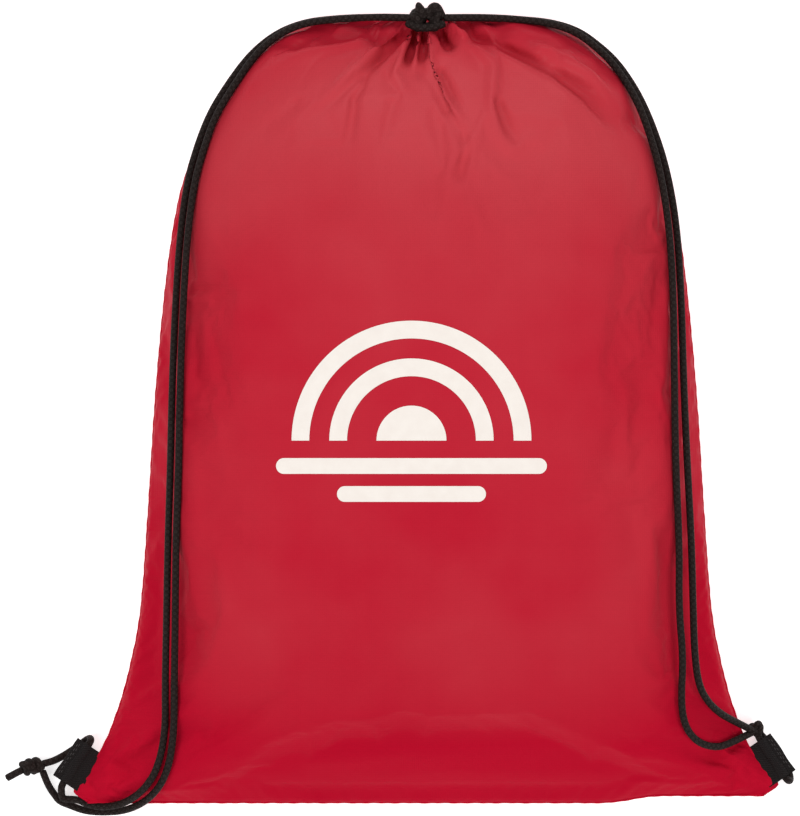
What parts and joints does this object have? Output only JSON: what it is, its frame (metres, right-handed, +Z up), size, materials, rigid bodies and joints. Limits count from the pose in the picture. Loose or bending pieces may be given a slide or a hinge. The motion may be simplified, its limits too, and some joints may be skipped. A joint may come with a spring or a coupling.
{
  "type": "drawstring backpack",
  "caption": "Stuffed drawstring backpack lying on its back: a cloth sack with a cord-drawn mouth and doubled cord straps knotted through webbing tabs at the lower corners.",
  "frame": {"origin": "on the surface that the bag lies on, under the middle of the bag without its loose cords", "axes": "+Z up out of the front of the bag, +Y from the bottom seam towards the drawn mouth, +X to the right as seen from the front"},
  "size_m": [0.3811, 0.394, 0.105],
  "materials": {
    "bag_cloth": "satin red polyester taffeta",
    "print_ink": "matt off-white screen print",
    "drawcord": "braided black polyester cord",
    "tab_webbing": "ribbed black webbing",
    "tab_thread": "black sewing thread"
  },
  "bodies": {
    "bag": {"front_panel": "bag_cloth", "back_panel": "bag_cloth", "left_side_seam": "bag_cloth", "right_side_seam": "bag_cloth", "bottom_seam": "bag_cloth", "front_hem": "bag_cloth", "back_hem": "bag_cloth", "printed_mark": "print_ink", "left_cord_outer": "drawcord", "left_cord_inner": "drawcord", "right_cord_outer": "drawcord", "right_cord_inner": "drawcord", "left_cord_in_hem": "drawcord", "right_cord_in_hem": "drawcord", "mouth_knot": "drawcord"},
    "left_tab": {"left_corner_tab": "tab_webbing", "left_tab_stitches": "tab_thread", "left_cord_in_tab": "drawcord", "left_cord_end": "drawcord", "left_end_knot": "drawcord", "left_cord_tail": "drawcord"},
    "right_tab": {"right_corner_tab": "tab_webbing", "right_tab_stitches": "tab_thread", "right_cord_in_tab": "drawcord", "right_end_knot": "drawcord"}
  },
  "joints": [
    {"name": "left_tab_fold", "type": "hinge", "parent": "bag", "child": "left_tab", "pos_m": [-0.16473, -0.17157, 0.009], "axis": [0.5576, 0.8301, 0], "range_deg": [0, 74]},
    {"name": "right_tab_fold", "type": "hinge", "parent": "bag", "child": "right_tab", "pos_m": [0.16311, -0.16917, 0.009], "axis": [0.5579, -0.8299, 0], "range_deg": [0, 74]}
  ]
}
